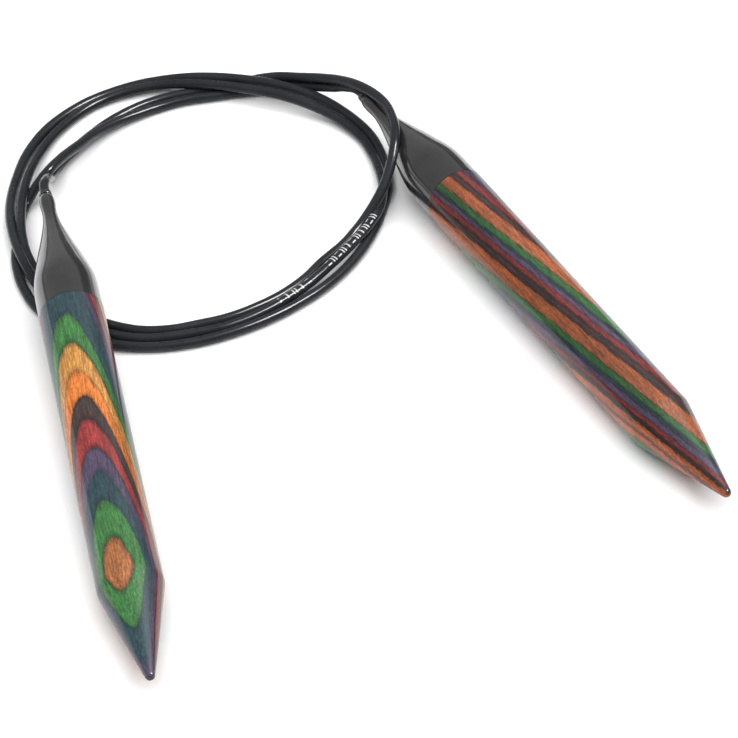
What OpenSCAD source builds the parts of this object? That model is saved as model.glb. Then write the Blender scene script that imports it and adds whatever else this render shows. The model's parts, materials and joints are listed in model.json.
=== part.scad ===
// Fixed circular knitting needle: two laminated wooden tips, each in a moulded ferrule
// that swivels on the crimped end of one thin cord. The cord lies in a loose coil.

/* [Needle] */
// Diameter of the shaft, which is the needle's size
needle_d = 12; // [10:0.5:15]
// Length of the straight shaft in front of the ferrule
shaft_l = 72; // [50:1:90]
// Length of the pointed end
tip_l = 22.2; // [16:0.2:28]
// Diameter of the rounded end of the point
tip_end_d = 1.8; // [1.2:0.1:3]

/* [Veneers] */
// Thickness of one veneer in the left shaft
left_ply = 1.07; // [0.9:0.01:1.5]
// Thickness of one veneer in the right shaft
right_ply = 1.02; // [0.9:0.01:1.5]
// Slope of the veneers against the left shaft's axis, in degrees
left_slope = 8.6; // [4:0.1:9]
// Slope of the veneers against the right shaft's axis, in degrees
right_slope = 7; // [4:0.1:9]

/* [Ferrule] */
// Length of the ferrule from the wood to the cord
ferrule_l = 33.5; // [32:0.5:40]
// Length of the ferrule's straight band
band_l = 6; // [3:0.5:8]
// Depth of the socket that the shaft's tenon is glued into
socket_l = 12; // [8:0.5:13]

/* [Cord] */
// Diameter of the cord
cord_d = 1.9; // [1.6:0.1:2]
// Diameter of the crimped bush on each end of the cord
bush_d = 3.5; // [3:0.1:3.6]
// Radial play of the turning fits
running_gap = 0.05; // [0.02:0.01:0.09]
// Middle radius of the coil
coil_r = 35.8; // [35.4:0.1:36]
// Width of the coil's band of turns
coil_w = 10.8; // [9:0.1:11]

/* [Hidden] */
$fn = 96;

needle_r = needle_d / 2;
cord_r = cord_d / 2;
tip_end_r = tip_end_d / 2;
tenon_d = 0.75 * needle_d;
glue_gap = 0.05;

// The ball that rounds the point, and where the point's cone runs into it.
point_angle = atan2(needle_r - tip_end_r, tip_l);
ball_r = tip_end_r / cos(point_angle);
ball_z = shaft_l + tip_l - ball_r;
cone_l = ball_z + tip_end_r * tan(point_angle) - shaft_l;

// The veneers' colours in the order in which they are stacked: green, amber, orange, brown,
// red, purple and teal.
COLOURS = ["#2b9a34", "#dba84a", "#e8832f", "#4d3c32", "#c6303a", "#4e3f6b", "#2c4f60"];
// Roll of each stack about its shaft, where one green veneer starts, and the colours' direction.
left_roll = 22.7;
left_green = 6.7;
left_order = 1;
right_roll = 129.1;
right_green = 6.71;
right_order = -1;

// Each needle: where its wood meets the ferrule, its heading from -Y towards +X, and its dip.
left_place = [-23.3, -38.3, 0];
left_heading = 10.3;
left_dip = 1.5;
right_place = [47, -3.1, 0];
right_heading = 30.1;
right_dip = 0.8;

// Outline of the ferrule behind its band: the share of the way to its end, and the share of the
// way from the neck's radius to the needle's.
neck_r = 1.4;
TAPER = [
  [0, 1], [0.08, 0.97], [0.17, 0.88], [0.33, 0.65], [0.43, 0.49], [0.57, 0.27], [0.69, 0.1],
  [0.79, 0.01], [0.85, 0], [0.92, 0.02], [0.97, 0], [1, -0.06]
];
OUTLINE = smooth([for (p = TAPER) [band_l + p[0] * (ferrule_l - band_l),
                                   neck_r + p[1] * (needle_r - neck_r)]], 4);
// Chamfer at the ferrule's mouth, where a fine groove shows next to the wood.
mouth_l = 0.6;
mouth_depth = 0.08;

// Inside of the ferrule, measured from the wood towards the cord.
bush_start = socket_l + 0.2;
bush_end = 22.4;
bush_play = 0.1;
neck_bore_r = cord_r + running_gap;
cord_end_start = 14;
cord_end_l = 22;
collar_gap = 0.1;
collar_l = 0.9;
collar_r = 1.2;

// Middle line of the cord from the left ferrule to where it lies in the coil.
LEFT_ROUTE = [
  [-29.7, -0.8, 8.6], [-29.4, 2, 7.3], [-29.1, 4.8, 4.9], [-29, 7.6, 2.8],
  [-28.7, 10.6, 1.6], [-27.9, 13.2, 1.1], [-26.6, 15.9, 1], [-24.4, 19.6, 1],
  [-21.6, 23.4, 1], [-18.2, 27.3, 1], [-13.4, 31.3, 1], [-8, 34.2, 1], [-2, 36.1, 1],
  [4, 37.6, 1], [9, 38.8, 1.8], [13.2, 38.4, 2.8], [17.4, 36.3, 4.3], [21.4, 33.8, 6.1],
  [25.3, 30.6, 8.1], [28.6, 27.2, 9.6], [31.6, 24, 10.1], [33.8, 20.6, 10.3],
  [35, 16.4, 10.8], [35.6, 12.4, 11.2], [35.6, 8.6, 10.7], [35, 5, 9], [33.8, 1.4, 6.7],
  [32.1, -1.6, 4.7], [30.2, -3.9, 2.7], [28.3, -6.5, 1.6], [25.8, -10.2, 1.1],
  [22.1, -14.9, 1], [18.7, -20, 1], [14.4, -24.6, 1], [9.6, -28.2, 1], [4.8, -30.9, 1],
  [0, -32.6, 1]
];
// Middle line of the cord from where it leaves the coil to the right ferrule.
RIGHT_ROUTE = [
  [-34.9, -12.7, 1], [-34.7, -8, 1], [-34.4, -3.6, 1], [-33.9, 0.2, 1.2], [-32.7, 3, 2.3],
  [-31.1, 5, 4], [-29.2, 7.3, 5.2], [-27.2, 11.1, 4.8], [-25.6, 14.1, 4.1],
  [-23.9, 17.2, 3.3], [-21.6, 21.2, 2.5], [-18.2, 25.1, 1.8], [-14.4, 28.2, 1.3],
  [-9.8, 31.1, 1], [-4.6, 33.4, 1], [1, 34.7, 1], [6, 35.8, 1], [11, 36.7, 1.2],
  [16, 36.4, 2.1], [20.4, 34.6, 3.4], [24, 32.1, 5.2], [26.4, 30.4, 6.6]
];

// Middle of the floor area that the two needles cover, which is the model's origin.
origin = [for (i = [0, 1]) (furthest(i, 1) - furthest(i, -1)) / 2];

LEFT_VENEERS = veneer_numbers(left_ply, left_slope, left_green);
RIGHT_VENEERS = veneer_numbers(right_ply, right_slope, right_green);

// Numbers of the veneers of a shaft, counted from one green veneer. The first one's upper face
// leaves it at least half a veneer, and the last one's lower face still cuts the blunt point.
function veneer_numbers(ply, slope, green) =
  let (low = -max(needle_r * cos(slope), tenon_d / 2 * cos(slope) + socket_l * sin(slope)),
       high = (shaft_l + tip_l) * sin(slope) + tip_end_r / 2)
  [floor((low + ply / 2 - green) / ply) : floor((high - green) / ply)];

// A veneer's name, with the veneers of one shaft counted from 01.
function veneer_name(side, k, numbers) =
  let (count = k - numbers[0] + 1)
  str(side, "_veneer_", count < 10 ? "0" : "", count);

// How far both needles reach along X (i = 0) or Y (i = 1), forwards (way = 1) or backwards.
function furthest(i, way) =
  max(reach(left_place, left_heading, left_dip, i, way),
      reach(right_place, right_heading, right_dip, i, way));

function reach(place, heading, dip, i, way) =
  let (a = axis_of(heading, dip)[i], tilt = sqrt(1 - a * a))
  max(concat([for (p = OUTLINE) way * (place[i] - p[0] * a) + p[1] * tilt],
             [way * (place[i] + shaft_l * a) + needle_r * tilt,
              way * (place[i] + ball_z * a) + ball_r]));

// A needle's axis, from the ferrule to the point.
function axis_of(heading, dip) =
  [sin(heading) * cos(dip), -cos(heading) * cos(dip), -sin(dip)];

// Height of the axis where the wood meets the ferrule, with the shaft's front edge at z = 0.
function joint_height(dip) = needle_r * cos(dip) + shaft_l * sin(dip);

// The outer end of a needle's straight cord end.
function cord_exit(place, heading, dip) =
  place + [0, 0, joint_height(dip)] - (cord_end_start + cord_end_l) * axis_of(heading, dip);

// Points of a smooth curve through the given points, with n steps between two of them.
function smooth(points, n) =
  let (last = len(points) - 1)
  [for (i = [0:last - 1], j = [0:n - 1])
     blend(points[max(i - 1, 0)], points[i], points[i + 1], points[min(i + 2, last)], j / n),
   points[last]];

function blend(a, b, c, d, t) =
  b + t * (c - a) / 2 + t * t * (2 * a - 5 * b + 4 * c - d) / 2
    + t * t * t * (3 * b - a - 3 * c + d) / 2;

function unit(v) = v / norm(v);

// Direction of the route at its point number i.
function along(route, i) = unit(route[min(i + 1, len(route) - 1)] - route[max(i - 1, 0)]);

// Eight points round the route's point number i.
function ring(route, i) =
  let (axis = along(route, i), side = unit(cross(axis, [0, 0, 1])), rise = cross(side, axis))
  [for (k = [0:7]) route[i] + cord_r * (cos(45 * k) * side + sin(45 * k) * rise)];

// Lays a piece that stands along +Z on a needle's axis.
module lay(place, heading, dip) {
  translate(place + [0, 0, joint_height(dip)]) rotate([0, 90 + dip, heading - 90]) children();
}

module at_origin() {
  translate([-origin[0], -origin[1], 0]) children();
}

module on_left() {
  at_origin() lay(left_place, left_heading, left_dip) children();
}

module on_right() {
  at_origin() lay(right_place, right_heading, right_dip) children();
}

// The whole shaft with its tenon, its point and its rounded end.
module shaft() {
  translate([0, 0, -socket_l]) cylinder(r = tenon_d / 2 - glue_gap, h = socket_l + 1);
  cylinder(r = needle_r, h = shaft_l);
  translate([0, 0, shaft_l]) cylinder(r1 = needle_r, r2 = tip_end_r, h = cone_l);
  translate([0, 0, ball_z]) sphere(r = ball_r);
}

// Veneer number k of a shaft. The outermost veneers take in what is left of the shaft.
module veneer(k, numbers, ply, slope, roll, green, order) {
  far = 2 * shaft_l;
  low = k == numbers[0] ? -far : green + k * ply;
  high = k == numbers[2] ? far : green + (k + 1) * ply;
  color(COLOURS[(order * k % 7 + 7) % 7])
    rotate([0, 0, roll + 180])
      intersection() {
        shaft();
        rotate([0, -slope, 0])
          translate([low, -2 * needle_r, -far])
            cube([high - low, 4 * needle_r, 3 * far]);
      }
}

module left_veneer(k) {
  on_left()
    veneer(k, LEFT_VENEERS, left_ply, left_slope, left_roll, left_green, left_order);
}

module right_veneer(k) {
  on_right()
    veneer(k, RIGHT_VENEERS, right_ply, right_slope, right_roll, right_green, right_order);
}

// The moulded ferrule, with the wood's socket, the bush's chamber and the cord's bore.
module ferrule() {
  color("#2a2a2c")
    difference() {
      rotate_extrude()
        polygon(concat([[0, 0], [needle_r - mouth_depth, 0], [needle_r, -mouth_l]],
                       [for (p = OUTLINE) [p[1], -p[0]]], [[0, -ferrule_l]]));
      translate([0, 0, -socket_l]) cylinder(d = tenon_d, h = socket_l + 1);
      translate([0, 0, -bush_end]) cylinder(r = bush_d / 2 + running_gap, h = bush_end);
      translate([0, 0, -ferrule_l - 1]) cylinder(r = neck_bore_r, h = ferrule_l);
    }
}

// The crimped bush that turns in the ferrule's chamber and keeps the cord in it.
module swivel_bush() {
  color("#b08d4a")
    translate([0, 0, -bush_end + bush_play])
      difference() {
        cylinder(d = bush_d, h = bush_end - bush_start - bush_play);
        translate([0, 0, -1]) cylinder(r = cord_r, h = bush_end);
      }
}

// The ring on the cord that stops against the ferrule's neck.
module cord_collar() {
  color("#1c1e22")
    translate([0, 0, -ferrule_l - collar_gap - collar_l])
      difference() {
        cylinder(r = collar_r, h = collar_l);
        translate([0, 0, -1]) cylinder(r = cord_r, h = collar_l + 2);
      }
}

// The straight end of the cord inside the bush and the neck.
module cord_end() {
  color("#1c1e22")
    translate([0, 0, -cord_end_start - cord_end_l]) cylinder(r = cord_r, h = cord_end_l);
}

// A stretch of cord along the route.
module tube(route) {
  last = len(route) - 1;
  color("#1c1e22")
    polyhedron(
      [for (i = [0:last]) each ring(route, i)],
      concat(
        [[for (k = [0:7]) k]],
        [for (i = [0:last - 1], k = [0:7])
           [8 * i + k, 8 * i + 8 + k, 8 * i + 8 + (k + 1) % 8, 8 * i + (k + 1) % 8]],
        [[for (k = [7:-1:0]) 8 * last + k]]));
}

// The cord's stretch from the left ferrule, starting face to face with its straight end.
module left_cord_run() {
  at_origin() tube(concat([cord_exit(left_place, left_heading, left_dip)], LEFT_ROUTE));
}

// The cord's stretch to the right ferrule, ending face to face with its straight end.
module right_cord_run() {
  at_origin() tube(concat(RIGHT_ROUTE, [cord_exit(right_place, right_heading, right_dip)]));
}

// The outer shape of the coiled turns.
module cord_coil() {
  color("#1c1e22")
    at_origin()
      translate([-1, -1, 0])
        rotate_extrude()
          translate([coil_r - coil_w / 2, 0]) square([coil_w, cord_d]);
}

for (k = LEFT_VENEERS)
  left_veneer(k);
for (k = RIGHT_VENEERS)
  right_veneer(k);
on_left() ferrule();  // left_ferrule
on_left() swivel_bush();  // left_swivel_bush
on_left() cord_collar();  // left_cord_collar
on_left() cord_end();  // left_cord_end
left_cord_run();
on_right() ferrule();  // right_ferrule
on_right() swivel_bush();  // right_swivel_bush
on_right() cord_collar();  // right_cord_collar
on_right() cord_end();  // right_cord_end
right_cord_run();
cord_coil();
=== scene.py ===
"""Looks of a circular knitting needle: two laminated tips, their ferrules and the coiled cord."""

import json
import math

import bmesh
import bpy
from mathutils import Matrix, Vector


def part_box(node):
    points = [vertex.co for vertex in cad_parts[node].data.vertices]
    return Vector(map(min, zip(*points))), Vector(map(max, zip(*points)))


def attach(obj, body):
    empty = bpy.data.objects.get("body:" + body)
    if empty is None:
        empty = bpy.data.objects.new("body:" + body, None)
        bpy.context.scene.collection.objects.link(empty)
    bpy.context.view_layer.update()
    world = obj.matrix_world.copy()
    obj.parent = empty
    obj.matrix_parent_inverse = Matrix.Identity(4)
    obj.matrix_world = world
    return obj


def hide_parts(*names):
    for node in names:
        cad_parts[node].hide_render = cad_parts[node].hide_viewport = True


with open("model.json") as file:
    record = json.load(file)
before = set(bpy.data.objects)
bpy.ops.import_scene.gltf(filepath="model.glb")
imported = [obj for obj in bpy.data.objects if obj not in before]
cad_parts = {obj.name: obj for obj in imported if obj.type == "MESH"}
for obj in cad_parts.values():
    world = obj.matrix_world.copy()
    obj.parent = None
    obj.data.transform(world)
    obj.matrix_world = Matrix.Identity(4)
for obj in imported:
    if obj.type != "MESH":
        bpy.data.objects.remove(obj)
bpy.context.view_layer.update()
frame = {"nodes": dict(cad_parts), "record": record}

MM = 0.001
MM_PER_M = 1000
SIDES = ("left", "right")

# ---------------------------------------------------------------- sizes, in millimetres

NEEDLE_R = 6.0
SHAFT_L = 72.0
TIP_L = 22.2
TIP_END_R = 0.9
# The shoulder between shaft and point, which the lacquer rounds a little.
SHOULDER_L = 0.5
SHOULDER_DROP = 0.03
# The fine groove where the wood meets the ferrule.
SEAM_DEPTH = 0.06
SEAM_L = 0.05
FERRULE_L = 33.5
BAND_L = 6.0
NECK_R = 1.4
BORE_R = 1.0
BORE_START = 20.0
CORD_R = 0.95
CORD_SIDES = 24
COLLAR_R = 1.2
COLLAR_L = 0.9
COLLAR_GAP = 0.1
COLLAR_EDGE_R = 0.12
# Stations of the cord's straight ends behind the wood, from inside the bush to the free cord.
CORD_STATIONS = (14.5, 22, 29, 36)
# How far the ink stands out of the cord, and how far it reaches in.
INK_OUT = 0.015
INK_IN = 0.05

# Outline of the ferrule behind its band: share of the way to its end, and share of the way
# from the neck's radius to the needle's.
TAPER = [
    (0, 1), (0.08, 0.97), (0.17, 0.88), (0.33, 0.65), (0.43, 0.49), (0.57, 0.27), (0.69, 0.1),
    (0.79, 0.01), (0.85, 0), (0.92, 0.02), (0.97, 0), (1, -0.06),
]

# Middle line of the cord from the left ferrule to where it lies in the coil, about the
# coil's middle, as in the part's source.
LEFT_ROUTE = [
    (-29.7, -0.8, 8.6), (-29.4, 2, 7.3), (-29.1, 4.8, 4.9), (-29, 7.6, 2.8),
    (-28.7, 10.6, 1.6), (-27.9, 13.2, 1.1), (-26.6, 15.9, 1), (-24.4, 19.6, 1),
    (-21.6, 23.4, 1), (-18.2, 27.3, 1), (-13.4, 31.3, 1), (-8, 34.2, 1), (-2, 36.1, 1),
    (4, 37.6, 1), (9, 38.8, 1.8), (13.2, 38.4, 2.8), (17.4, 36.3, 4.3), (21.4, 33.8, 6.1),
    (25.3, 30.6, 8.1), (28.6, 27.2, 9.6), (31.6, 24, 10.1), (33.8, 20.6, 10.3),
    (35, 16.4, 10.8), (35.6, 12.4, 11.2), (35.6, 8.6, 10.7), (35, 5, 9), (33.8, 1.4, 6.7),
    (32.1, -1.6, 4.7), (30.2, -3.9, 2.7), (28.3, -6.5, 1.6), (25.8, -10.2, 1.1),
    (22.1, -14.9, 1), (18.7, -20, 1), (14.4, -24.6, 1), (9.6, -28.2, 1), (4.8, -30.9, 1),
    (0, -32.6, 1),
]
# The coil's turns: angle clockwise from -X in degrees, distance from the coil's middle, and
# height. Each turn differs, as the cord was laid by hand and crosses itself.
TURNS = [
    (280, 34.8, 1), (290, 36.4, 1), (302, 37, 1), (315, 36.7, 1), (327, 35.9, 1.2),
    (337, 35.6, 2.1), (346, 35, 2.9), (355, 34.4, 3.1), (364, 34.2, 3.3), (374, 34.5, 2.7),
    (386, 35.5, 1.7), (400, 37.2, 1.1), (414, 38.7, 1), (426, 38.8, 1.4), (437, 37.8, 2.1),
    (448, 36.1, 2.8), (460, 35.2, 3), (475, 35.3, 3), (490, 36.3, 2.1), (502, 36.6, 1.2),
    (512, 35.6, 1.2), (522, 34.5, 1.8), (532, 33.7, 2.6), (541, 32.9, 2.95), (548, 31.9, 2.9),
    (555, 30.8, 2.6), (567, 29.4, 2.3), (578, 29.1, 2.1), (588, 29.5, 1.8), (597, 30.1, 1.5),
    (606, 31.1, 1.2), (617, 32.7, 1), (627, 34.4, 1), (644, 37.8, 1), (656, 39.2, 1),
    (668, 39, 1), (680, 38.1, 1.6), (690, 37.4, 2.5), (699, 36.9, 2.9), (707, 36.6, 2.6),
    (716, 36.5, 2), (725, 36.6, 1.4), (735, 37, 1), (747, 38.1, 1), (760, 39.3, 1),
    (774, 40.1, 1), (787, 40.1, 1.3), (797, 39.2, 2.1), (807, 38.3, 2.8), (818, 37.9, 3),
    (830, 38, 3), (842, 38.6, 2.5), (852, 38.9, 1.6), (862, 38.6, 1.1), (871, 37.5, 1),
    (880, 36.2, 1), (889, 35.1, 1), (898, 33.5, 1), (908, 32.4, 1), (920, 31.6, 1),
    (932, 31.3, 1), (944, 31.5, 1), (956, 32.1, 1), (968, 33.4, 1), (980, 35.3, 1),
    (992, 37.8, 1), (1003, 40.1, 1), (1014, 41.7, 1), (1026, 42.1, 1), (1037, 41.3, 1),
    (1046, 39.9, 1), (1054, 38.4, 1),
]
# Middle line of the cord from the coil up to the right ferrule, as in the part's source.
RIGHT_ROUTE = [
    (-34.9, -12.7, 1), (-34.7, -8, 1), (-34.4, -3.6, 1), (-33.9, 0.2, 1.2), (-32.7, 3, 2.3),
    (-31.1, 5, 4), (-29.2, 7.3, 5.2), (-27.2, 11.1, 4.8), (-25.6, 14.1, 4.1),
    (-23.9, 17.2, 3.3), (-21.6, 21.2, 2.5), (-18.2, 25.1, 1.8), (-14.4, 28.2, 1.3),
    (-9.8, 31.1, 1), (-4.6, 33.4, 1), (1, 34.7, 1), (6, 35.8, 1), (11, 36.7, 1.2),
    (16, 36.4, 2.1), (20.4, 34.6, 3.4), (24, 32.1, 5.2), (26.4, 30.4, 6.6),
]

# ---------------------------------------------------------------- colours, linear

GREEN = (0.05, 0.214, 0.05)
AMBER = (0.66, 0.30, 0.06)
ORANGE = (0.82, 0.22, 0.03)
BROWN = (0.055, 0.031, 0.027)
RED = (0.36, 0.034, 0.034)
PURPLE = (0.087, 0.060, 0.12)
TEAL = (0.022, 0.062, 0.08)
TAN = (0.45, 0.155, 0.048)
RUST = (0.68, 0.16, 0.04)
OCHRE = (0.62, 0.17, 0.05)
VIOLET = (0.15, 0.09, 0.19)
MAROON = (0.17, 0.035, 0.035)

# Each stack of veneers: its slope and its roll in degrees, how far it dips towards the point,
# how light its dyes are, how far they bleed along the grain, and where each veneer starts.
LEFT_STACK = {
    "slope": 8.6,
    "roll": 22.7,
    "dip": 2.1,
    "tone": 0.66,
    "bleed": 0.08,
    "veneers": [
        (-8.0, BROWN), (-5.1, RED), (-4.0, PURPLE), (-2.9, TEAL), (-1.9, GREEN),
        (-0.8, AMBER), (0.3, ORANGE), (1.4, BROWN), (2.4, RED), (3.5, PURPLE), (4.6, TEAL),
        (6.7, GREEN), (7.75, AMBER), (8.9, ORANGE), (10.05, BROWN), (10.85, RED),
        (11.95, PURPLE), (12.95, TEAL), (14.15, GREEN), (15.45, TAN),
    ],
}
RIGHT_STACK = {
    "slope": 7.0,
    "roll": 129.1,
    "dip": 0.0,
    "tone": 0.46,
    "bleed": 0.24,
    "veneers": [
        (-8.0, TEAL), (-5.4, PURPLE), (-4.4, RED), (-3.4, BROWN), (-2.95, MAROON),
        (-2.7, BROWN), (-2.35, RUST), (-1.3, OCHRE), (-0.35, GREEN), (0.8, TEAL),
        (1.3, VIOLET), (2.1, RED), (3.1, BROWN), (3.55, MAROON), (3.9, BROWN), (4.5, RUST),
        (5.6, OCHRE), (6.8, GREEN), (8.0, TEAL), (8.7, VIOLET), (9.7, RED), (10.5, BROWN),
        (11.2, RUST), (12.5, RED), (12.8, RUST), (13.7, GREEN),
    ],
}
STACKS = {"left": LEFT_STACK, "right": RIGHT_STACK}
LOWEST_VENEER = -8.0
HIGHEST_VENEER = 17.0

# ---------------------------------------------------------------- places

# The CAD ring that stands for the turns lies a little off their middle.
RING_SHIFT = Vector((-1, -1, 0))


def coil_middle():
    """The point on the floor that the cord's route is measured from."""
    low, high = (Vector(corner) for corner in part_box("cord_coil"))
    middle = (low + high) / 2 - RING_SHIFT * MM
    middle.z = 0
    return middle


COIL_MIDDLE = coil_middle()


def needle_place(side):
    """Where a needle's wood meets its ferrule, with Z along the needle and X its upper side."""
    mount = next(m for m in frame["record"]["mounts"] if m["name"] == side + "_shaft")
    axis = Vector(mount["axis"]).normalized()
    up = (Vector((0, 0, 1)) - axis * axis.z).normalized()
    start = Vector(mount["pos_m"]) - axis * (SHAFT_L / 2 * MM)
    place = Matrix((up, axis.cross(up), axis)).transposed().to_4x4()
    place.translation = start
    return place


PLACES = {side: needle_place(side) for side in SIDES}


def on_axis(side, behind):
    """The point on a needle's axis that many millimetres behind its wood."""
    return PLACES[side] @ Vector((0, 0, -behind * MM))


# ---------------------------------------------------------------- camera

# A long lens on a full-frame sensor, in millimetres, looking down by that many degrees.
LENS = 292.7
SENSOR = 36
CAMERA_PLACE = (-0.00128, -0.81671, 0.7166)
CAMERA_DOWN = 40.98


def add_camera():
    data = bpy.data.cameras.new("camera")
    data.lens = LENS
    data.sensor_width = SENSOR
    camera = bpy.data.objects.new("camera", data)
    camera.location = CAMERA_PLACE
    camera.rotation_euler = (math.radians(90 - CAMERA_DOWN), 0, 0)
    bpy.context.collection.objects.link(camera)
    bpy.context.scene.camera = camera


add_camera()

# ---------------------------------------------------------------- mesh helpers

# Edges that turn by more degrees than this stay sharp.
SHARP_ANGLE = 40


def smooth_line(points, steps):
    """Points of a smooth curve through the given ones, with that many steps between two."""
    line = []
    last = len(points) - 1
    for i in range(last):
        a, b, c, d = (points[k] for k in (max(i - 1, 0), i, i + 1, min(i + 2, last)))
        for step in range(steps):
            t = step / steps
            line.append(
                b
                + (c - a) * (t / 2)
                + (2 * a - 5 * b + 4 * c - d) * (t * t / 2)
                + (3 * b - a - 3 * c + d) * (t * t * t / 2)
            )
    line.append(points[last])
    return line


def add_mesh(name, bm, material):
    """Turns bm into an object with smooth shading, except over its sharp edges."""
    bmesh.ops.recalc_face_normals(bm, faces=bm.faces)
    mesh = bpy.data.meshes.new(name)
    bm.to_mesh(mesh)
    bm.free()
    mesh.shade_smooth()
    mesh.set_sharp_from_angle(angle=math.radians(SHARP_ANGLE))
    mesh.materials.append(material)
    piece = bpy.data.objects.new(name, mesh)
    bpy.context.collection.objects.link(piece)
    return piece


def turn_angles(count):
    """The angles of that many points spaced evenly round a ring."""
    return [2 * math.pi * k / count for k in range(count)]


def join_rings(bm, a, b):
    """Adds the faces between two rings of points, of which one may be a single point."""
    count = max(len(a), len(b))
    for k in range(count):
        n = k + 1
        corners = [a[k % len(a)], a[n % len(a)], b[n % len(b)], b[k % len(b)]]
        bm.faces.new(list(dict.fromkeys(corners)))


def lathe(name, outline, place, material, sides=144):
    """A turned piece. Its outline of (height, radius) ends on the axis, or it is a loop."""
    bm = bmesh.new()
    rings = []
    for height, radius in outline:
        angles = turn_angles(sides) if radius > 0 else [0]
        points = [(radius * math.cos(a), radius * math.sin(a), height) for a in angles]
        rings.append([bm.verts.new(Vector(point) * MM) for point in points])
    pairs = list(zip(rings, rings[1:]))
    if outline[0][1] > 0:
        pairs.append((rings[-1], rings[0]))
    for a, b in pairs:
        join_rings(bm, a, b)
    bmesh.ops.transform(bm, matrix=place, verts=bm.verts)
    return add_mesh(name, bm, material)


def frames_along(line):
    """At each point of the line its direction, the way up square to it and the way sideways."""
    frames = []
    for i in range(len(line)):
        along = (line[min(i + 1, len(line) - 1)] - line[max(i - 1, 0)]).normalized()
        side = along.cross(Vector((0, 0, 1))).normalized()
        frames.append((along, side.cross(along), side))
    return frames


# ---------------------------------------------------------------- material helpers


class Shader:
    """A material's node tree, with one short call for each kind of node."""

    def __init__(self, name):
        self.material = bpy.data.materials.new(name)
        self.material.use_nodes = True
        self.nodes = self.material.node_tree.nodes
        self.links = self.material.node_tree.links
        self.surface = self.nodes["Principled BSDF"]

    def give(self, socket, value):
        if isinstance(value, bpy.types.NodeSocket):
            self.links.new(value, socket)
        else:
            socket.default_value = value

    def fill(self, node, values):
        """Gives a node's inputs those values, in order."""
        for socket, value in zip(node.inputs, values):
            self.give(socket, value)

    def set(self, **values):
        """Sets inputs of the surface: an input named Coat Weight is given as Coat_Weight."""
        for name, value in values.items():
            self.give(self.surface.inputs[name.replace("_", " ")], value)

    def math(self, operation, *values, clamp=False):
        node = self.nodes.new("ShaderNodeMath")
        node.operation = operation
        node.use_clamp = clamp
        self.fill(node, values)
        return node.outputs[0]

    def chain(self, operation, first, *others):
        """Joins two or more values by one operation."""
        for other in others:
            first = self.math(operation, first, other)
        return first

    def vector(self, operation, *values, output="Vector"):
        node = self.nodes.new("ShaderNodeVectorMath")
        node.operation = operation
        self.fill(node, values)
        return node.outputs[output]

    def dot(self, a, b):
        return self.vector("DOT_PRODUCT", a, b, output="Value")

    def spread(self, value, low, high, to_low=0.0, to_high=1.0, smooth=False):
        """Spreads value's range from low to high over the range from to_low to to_high."""
        node = self.nodes.new("ShaderNodeMapRange")
        node.interpolation_type = "SMOOTHSTEP" if smooth else "LINEAR"
        self.fill(node, (value, low, high, to_low, to_high))
        return node.outputs["Result"]

    def coordinates(self, output="Object"):
        return self.nodes.new("ShaderNodeTexCoord").outputs[output]

    def millimetres(self):
        return self.vector("MULTIPLY", self.coordinates(), (MM_PER_M, MM_PER_M, MM_PER_M))

    def coordinates_in(self, place):
        """The point in a needle's own frame, in millimetres."""
        start = tuple(place.translation * MM_PER_M)
        point = self.vector("SUBTRACT", self.millimetres(), start)
        node = self.nodes.new("ShaderNodeCombineXYZ")
        axes = place.to_3x3().transposed()
        self.fill(node, [self.dot(point, axis) for axis in axes])
        return node.outputs[0]

    def noise(self, vector, stretch, detail=2.0, roughness=0.5):
        """Noise about 0.5, with that many waves to a unit of the vector along each axis."""
        node = self.nodes.new("ShaderNodeTexNoise")
        self.give(node.inputs["Vector"], self.vector("MULTIPLY", vector, stretch))
        node.inputs["Scale"].default_value = 1
        node.inputs["Detail"].default_value = detail
        node.inputs["Roughness"].default_value = roughness
        return node.outputs["Fac"]

    def vary(self, noise, low, high, reach=0.2):
        """Spreads noise, which lies mostly within reach of 0.5, over the range from low to high."""
        return self.spread(noise, 0.5 - reach, 0.5 + reach, low, high)

    def ramp(self, value, stops):
        """A colour that steps at each stop's position, from 0 to 1."""
        node = self.nodes.new("ShaderNodeValToRGB")
        node.color_ramp.interpolation = "CONSTANT"
        elements = node.color_ramp.elements
        while len(elements) < len(stops):
            elements.new(1)
        for element, (position, colour) in zip(elements, stops):
            element.position = position
            element.color = (*colour, 1)
        self.give(node.inputs["Fac"], value)
        return node.outputs["Color"]

    def tint(self, colour, factor):
        """The colour times a factor."""
        return self.vector("SCALE", colour, (0, 0, 0), (0, 0, 0), factor)

    def bump(self, height, distance, strength):
        node = self.nodes.new("ShaderNodeBump")
        node.inputs["Strength"].default_value = strength
        node.inputs["Distance"].default_value = distance
        self.give(node.inputs["Height"], height)
        return node.outputs["Normal"]


# Where the veneers start to dip towards the point, and where they have dipped all the way.
DIP_START = SHAFT_L - 10
DIP_END = SHAFT_L + TIP_L + 2
# How far the veneers wave, and how far on each side of a joint its glue shows.
WAVE = 0.11
GLUE_REACHES = (0.05, 0.11, 0.19)


def stack_depth(shader, point, stack, across):
    """How deep a point lies in its stack of veneers, in millimetres, with uneven joints."""
    along = shader.dot(point, (0, 0, 1))
    dip = shader.spread(along, DIP_START, DIP_END, 0, stack["dip"], smooth=True)
    depth = shader.math("SUBTRACT", shader.dot(point, across), dip)
    waves = shader.noise(point, (0.25, 0.25, 0.09), detail=1)
    # The further the dyes bleed, the longer their streaks are.
    bleed = stack["bleed"]
    ragged = shader.noise(point, (4.5, 4.5, 0.072 / bleed), detail=3, roughness=0.7)
    shifts = (shader.vary(waves, -WAVE, WAVE), shader.vary(ragged, -bleed, bleed))
    return shader.chain("ADD", depth, *shifts)


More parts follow.
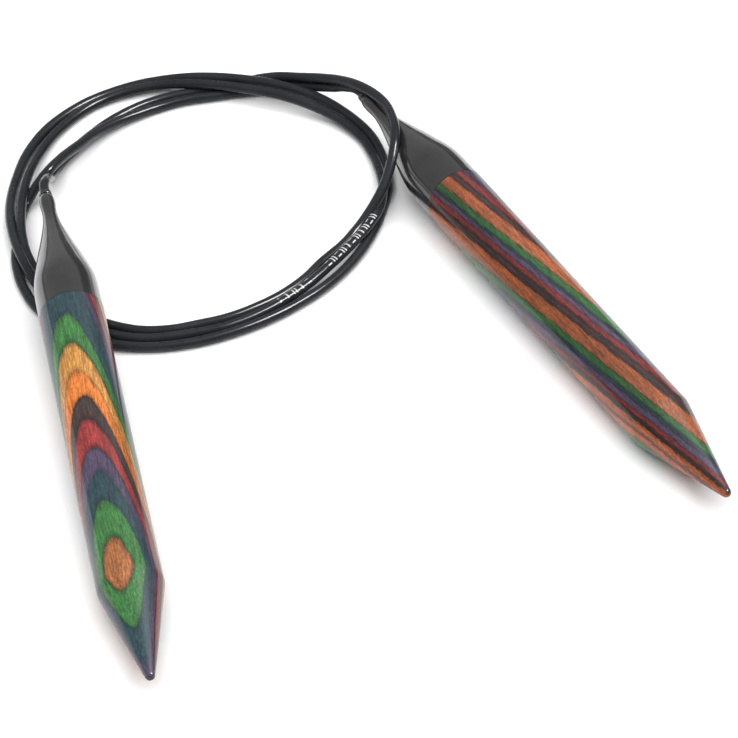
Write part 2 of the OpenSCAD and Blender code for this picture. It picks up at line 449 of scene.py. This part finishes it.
def laminate_material(side):
    """Dyed veneers under clear lacquer, cut slanting by the round shaft and its point."""
    shader = Shader(side + "_wood_veneers")
    place, stack = PLACES[side], STACKS[side]
    slope, roll = math.radians(stack["slope"]), math.radians(stack["roll"])
    across = Vector(
        (math.cos(slope) * math.cos(roll), math.cos(slope) * math.sin(roll), math.sin(slope))
    )
    point = shader.coordinates_in(place)
    depth = stack_depth(shader, point, stack, across)
    height = HIGHEST_VENEER - LOWEST_VENEER
    stops = [((start - LOWEST_VENEER) / height, colour) for start, colour in stack["veneers"]]

    def colour_at(shift):
        shifted = shader.math("ADD", depth, shift)
        return shader.ramp(shader.spread(shifted, LOWEST_VENEER, HIGHEST_VENEER), stops)

    def near_joint(reach):
        """Up to 1 where the colour changes within that many millimetres of this depth."""
        change = shader.vector("DISTANCE", colour_at(-reach), colour_at(reach), output="Value")
        return shader.math("MULTIPLY", change, 4, clamp=True)

    colour = colour_at(0.0)
    # The glue line is darkest in its middle, where every reach meets the joint.
    glue = shader.chain("ADD", *(near_joint(reach) for reach in GLUE_REACHES))
    joints = shader.spread(glue, 0, len(GLUE_REACHES), stack["tone"], 0.38 * stack["tone"])

    # A veneer that the surface cuts flat is bright, and one seen on its edge soaks up dye.
    facing = shader.dot(shader.coordinates("Normal"), place.to_3x3() @ across)
    facing = shader.spread(shader.math("ABSOLUTE", facing), 0.1, 0.85, 0.6, 1.0)
    streaks = shader.noise(point, (3.2, 3.2, 0.22), detail=4, roughness=0.7)
    mottle = shader.noise(point, (2.6, 2.6, 1.1), detail=4, roughness=0.75)
    patches = shader.noise(point, (0.6, 0.6, 0.12), detail=2)
    tone = shader.chain(
        "MULTIPLY",
        facing,
        joints,
        shader.vary(streaks, 0.45, 1.5, reach=0.18),
        shader.vary(mottle, 0.6, 1.4, reach=0.18),
        shader.vary(patches, 0.8, 1.2),
    )
    shader.set(
        Base_Color=shader.tint(colour, tone),
        Roughness=shader.vary(streaks, 0.5, 0.65),
        Specular_IOR_Level=0.2,
        Coat_Weight=0.65,
        Coat_Roughness=0.1,
        Coat_IOR=1.45,
        Normal=shader.bump(streaks, 0.02 * MM, 0.4),
    )
    return shader.material


def ferrule_material():
    """Black moulded plastic, with a faint mould grain and a gloss."""
    shader = Shader("ferrule_plastic")
    point = shader.millimetres()
    grain = shader.noise(point, (7, 7, 7), detail=3, roughness=0.6)
    clouds = shader.noise(point, (0.25, 0.25, 0.12), detail=2)
    shader.set(
        Base_Color=shader.tint((1.0, 1.0, 1.04), shader.vary(clouds, 0.012, 0.018)),
        Roughness=shader.vary(grain, 0.3, 0.4),
        Specular_IOR_Level=0.3,
        Coat_Weight=1.0,
        Coat_Roughness=0.035,
        Normal=shader.bump(grain, 0.004 * MM, 0.4),
    )
    return shader.material


def cord_material():
    """Smooth black nylon with a slight blue cast, a little uneven."""
    shader = Shader("cord_nylon")
    point = shader.millimetres()
    grain = shader.noise(point, (0.8, 0.8, 0.8), detail=2)
    clouds = shader.noise(point, (0.12, 0.12, 0.12), detail=2)
    shader.set(
        Base_Color=shader.tint((0.9, 1.0, 1.15), shader.vary(clouds, 0.017, 0.025)),
        Roughness=shader.vary(grain, 0.25, 0.35),
        Specular_IOR_Level=0.06,
        Coat_Weight=0.8,
        Coat_Roughness=0.07,
        Coat_IOR=1.2,
        Normal=shader.bump(grain, 0.002 * MM, 0.1),
    )
    return shader.material


def print_material():
    """White ink, a little worn."""
    shader = Shader("cord_ink")
    wear = shader.noise(shader.millimetres(), (3, 3, 3), detail=3)
    shader.set(
        Base_Color=shader.tint((1.0, 1.0, 1.0), shader.vary(wear, 0.3, 0.62, reach=0.15)),
        Roughness=0.5,
    )
    return shader.material


def brass_material():
    """Brass, dull in fine spots."""
    shader = Shader("bush_brass")
    spots = shader.noise(shader.millimetres(), (8, 8, 8), detail=2)
    shader.set(
        Base_Color=(0.72, 0.5, 0.2, 1),
        Metallic=1.0,
        Roughness=shader.vary(spots, 0.25, 0.4),
    )
    return shader.material


# ---------------------------------------------------------------- cord


def in_coil(x, y, z):
    """The point at that place about the coil's middle, in millimetres."""
    return COIL_MIDDLE + Vector((x, y, z)) * MM


def in_turn(angle, distance, height):
    """The point on a turn at that angle clockwise from -X and distance from the middle."""
    a = math.radians(180 - angle)
    return in_coil(distance * math.cos(a), distance * math.sin(a), height)


def cord_line():
    """The cord's middle line, from inside the left ferrule to inside the right one."""
    points = [on_axis("left", behind) for behind in CORD_STATIONS]
    points += [in_coil(*point) for point in LEFT_ROUTE]
    points += [in_turn(*point) for point in TURNS]
    points += [in_coil(*point) for point in RIGHT_ROUTE]
    points += [on_axis("right", behind) for behind in reversed(CORD_STATIONS)]
    return smooth_line(points, 6)


def add_cord(line, material):
    bm = bmesh.new()
    rings = []
    for point, (_, up, side) in zip(line, frames_along(line)):
        ring = [math.cos(a) * side + math.sin(a) * up for a in turn_angles(CORD_SIDES)]
        rings.append([bm.verts.new(point + CORD_R * MM * out) for out in ring])
    for a, b in zip(rings, rings[1:]):
        join_rings(bm, a, b)
    bm.faces.new(rings[0])
    bm.faces.new(rings[-1])
    cord = add_mesh("cord", bm, material)
    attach(cord, "cord")
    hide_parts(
        "cord_coil", "left_cord_run", "right_cord_run", "left_cord_end", "right_cord_end"
    )
    return cord


# Marks printed on the cord: plain bars, dashes and dots, each as (start, end) along the cord
# and (low, high) round it, in millimetres, about the middle of the mark.
BAR = [((-0.15, 0.15), (-0.75, 0.75))]
PAIR = [((-0.45, -0.2), (-0.75, 0.75)), ((0.2, 0.45), (-0.75, 0.75))]
DASHES = [((-0.45, 0.45), (-0.65, -0.4)), ((-0.45, 0.45), (0.4, 0.65))]
DOTS = [((-0.2, 0.2), (-0.7, -0.3)), ((-0.2, 0.2), (0.3, 0.7))]
LONG_PRINT = [PAIR, DASHES, PAIR, BAR, PAIR, DASHES, BAR, PAIR, DASHES, PAIR, DASHES]
SHORT_PRINT = [DASHES, BAR, PAIR, BAR, DOTS]
# Each row of marks: the angle of the turn where it starts, its marks, and their pitch.
PRINTS = ((548, LONG_PRINT, 1.52), (588, SHORT_PRINT, 1.8))
PRINT_START = 0.3
PATCH_ROWS = 3
PATCH_COLUMNS = 7


def spaced(low, high, count):
    """That many numbers from low to high."""
    return [low + (high - low) * i / (count - 1) for i in range(count)]


def rim(layer):
    """The points round the edge of a grid of points, given as rows."""
    right = [row[-1] for row in layer[1:-1]]
    left = [row[0] for row in layer[-2:0:-1]]
    return layer[0] + right + layer[-1][::-1] + left


def add_print(line, material):
    """The two rows of marks, along the top of the cord."""
    frames = frames_along(line)
    bm = bmesh.new()

    def on_cord(start, distance, round_from_top, radius):
        """The point that far along the cord from line[start] and that far round from its top."""
        i = start
        left = distance * MM
        while left > (line[i + 1] - line[i]).length:
            left -= (line[i + 1] - line[i]).length
            i += 1
        along, up, side = frames[i]
        angle = round_from_top / CORD_R
        out = math.cos(angle) * up + math.sin(angle) * side
        return line[i] + along * left + radius * MM * out

    def add_patch(start, ends, edges):
        """A thin patch of ink: two layers of points, joined round the edge."""
        layers = []
        for radius in (CORD_R + INK_OUT, CORD_R - INK_IN):
            layer = []
            for distance in spaced(*ends, PATCH_ROWS):
                around = spaced(*edges, PATCH_COLUMNS)
                points = [on_cord(start, distance, offset, radius) for offset in around]
                layer.append([bm.verts.new(point) for point in points])
            layers.append(layer)
        for layer in layers:
            for row, after in zip(layer, layer[1:]):
                for k in range(PATCH_COLUMNS - 1):
                    bm.faces.new((row[k], after[k], after[k + 1], row[k + 1]))
        join_rings(bm, rim(layers[0]), rim(layers[1]))

    for angle, marks, pitch in PRINTS:
        turn_point = in_turn(*next(point for point in TURNS if point[0] >= angle))
        start = min(range(len(line)), key=lambda i: (line[i] - turn_point).length)
        for number, mark in enumerate(marks):
            middle = PRINT_START + number * pitch
            for (first, last), edges in mark:
                add_patch(start, (middle + first, middle + last), edges)
    ink = add_mesh("cord_print", bm, material)
    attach(ink, "cord")
    return ink


line = cord_line()
cord_piece = add_cord(line, cord_material())
ink_piece = add_print(line, print_material())

# ---------------------------------------------------------------- needles


def arc(middle, radius, start, end, steps):
    """Points (height, radius) of an arc about (height, radius), with angles from the axis."""
    angles = [math.radians(start + (end - start) * i / steps) for i in range(steps + 1)]
    return [(middle[0] + radius * math.cos(a), middle[1] + radius * math.sin(a)) for a in angles]


def add_wood(side):
    """The whole laminated tip: shaft, point and rounded end."""
    slant = math.atan2(NEEDLE_R - TIP_END_R, TIP_L)
    ball_r = TIP_END_R / math.cos(slant)
    ball_z = SHAFT_L + TIP_L - ball_r
    cone_l = ball_z + TIP_END_R * math.tan(slant) - SHAFT_L
    outline = [(0, 0), (0, NEEDLE_R / 2), (0, NEEDLE_R - SEAM_DEPTH), (SEAM_L, NEEDLE_R)]
    # Rings along the shaft keep its faces short.
    outline += [(z, NEEDLE_R) for z in (3, 10, 20, 30, 40, 50, 60, 68, SHAFT_L - SHOULDER_L)]
    shoulder_end_r = NEEDLE_R - SHOULDER_L * math.tan(slant) - SHOULDER_DROP / 3
    outline += [(SHAFT_L, NEEDLE_R - SHOULDER_DROP), (SHAFT_L + SHOULDER_L, shoulder_end_r)]
    for share in (0.15, 0.3, 0.45, 0.6, 0.75, 0.9, 0.98):
        outline.append((SHAFT_L + share * cone_l, NEEDLE_R + share * (TIP_END_R - NEEDLE_R)))
    outline += arc((ball_z, 0), ball_r, 90 - math.degrees(slant), 0, 10)[:-1]
    outline.append((ball_z + ball_r, 0))
    wood = lathe(side + "_wood", outline, PLACES[side], laminate_material(side))
    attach(wood, side + "_needle")
    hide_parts(*(node for node in frame["nodes"] if node.startswith(side + "_veneer_")))


def add_ferrule(side, material):
    """The moulded ferrule, with the cord's bore in its neck."""
    shape = [
        Vector((BAND_L + share * (FERRULE_L - BAND_L), NECK_R + grow * (NEEDLE_R - NECK_R)))
        for share, grow in TAPER
    ]
    outline = [(0, 0), (0, NEEDLE_R / 2), (0, NEEDLE_R - SEAM_DEPTH), (-SEAM_L, NEEDLE_R)]
    outline += [(-BAND_L * k / 4, NEEDLE_R) for k in (1, 2, 3)]
    outline += [(-p.x, p.y) for p in smooth_line(shape, 8)]
    # The bore's mouth has a fine chamfer.
    outline += [(-FERRULE_L - 0.01, BORE_R + 0.02), (-FERRULE_L + 0.05, BORE_R)]
    outline += [(-BORE_START, BORE_R), (-BORE_START, 0)]
    ferrule = lathe(side + "_moulding", outline, PLACES[side], material)
    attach(ferrule, side + "_needle")
    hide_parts(side + "_ferrule")


def add_collar(side, material):
    """The black ring on the cord, with rounded edges."""
    start = -FERRULE_L - COLLAR_GAP
    end = start - COLLAR_L
    edge = COLLAR_EDGE_R
    outline = [(start, CORD_R), (start, COLLAR_R - edge)]
    outline += arc((start - edge, COLLAR_R - edge), edge, 0, 90, 4)
    outline += arc((end + edge, COLLAR_R - edge), edge, 90, 180, 4)
    outline += [(end, CORD_R)]
    collar = lathe(side + "_ring", outline, PLACES[side], material, sides=64)
    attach(collar, "cord")
    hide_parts(side + "_cord_collar")
    return collar


ferrule_plastic = ferrule_material()
for side in SIDES:
    add_wood(side)
for side in SIDES:
    add_ferrule(side, ferrule_plastic)
collars = [add_collar(side, ferrule_plastic) for side in SIDES]

brass = brass_material()
for side in SIDES:
    for material_slot in bpy.data.objects[side + "_swivel_bush"].material_slots:
        material_slot.material = brass

# ---------------------------------------------------------------- floor and light

# The floor lies this far below the object, in millimetres, so that no faces share a plane.
FLOOR_GAP = 0.1
FLOOR_SIZE = 3


def add_floor():
    bm = bmesh.new()
    bmesh.ops.create_grid(bm, x_segments=1, y_segments=1, size=FLOOR_SIZE)
    shader = Shader("floor_white")
    clouds = shader.noise(shader.coordinates(), (3, 3, 3))
    shader.set(
        Base_Color=shader.tint((1, 1, 1), shader.vary(clouds, 0.88, 0.9)),
        Roughness=0.9,
        Specular_IOR_Level=0.2,
    )
    floor = add_mesh("floor", bm, shader.material)
    floor.location.z = -FLOOR_GAP * MM


def add_area_light(name, place, size, power, gloss=True, dull=True):
    """A soft light aimed at the object, which can be kept out of gloss or out of dull colour."""
    data = bpy.data.lights.new(name, "AREA")
    data.shape = "RECTANGLE"
    data.size, data.size_y = size
    data.energy = power
    light = bpy.data.objects.new(name, data)
    light.location = place
    light.rotation_euler = (-Vector(place)).to_track_quat("-Z", "Y").to_euler()
    light.visible_glossy = gloss
    light.visible_diffuse = dull
    bpy.context.collection.objects.link(light)


def add_world():
    world = bpy.data.worlds.new("studio")
    world.use_nodes = True
    background = world.node_tree.nodes["Background"]
    background.inputs["Color"].default_value = (0.95, 0.98, 1, 1)
    background.inputs["Strength"].default_value = 0.05
    bpy.context.scene.world = world


add_floor()
add_world()
add_area_light("dome", (0, -0.2, 1.6), (3, 3), 84, gloss=False)
add_area_light("card", (-0.4, 0.3, 1.2), (5, 5), 34, dull=False)
add_area_light("window", (0.66, 0.09, 1.05), (0.4, 0.4), 45, dull=False)
bpy.context.scene.view_settings.view_transform = "Standard"
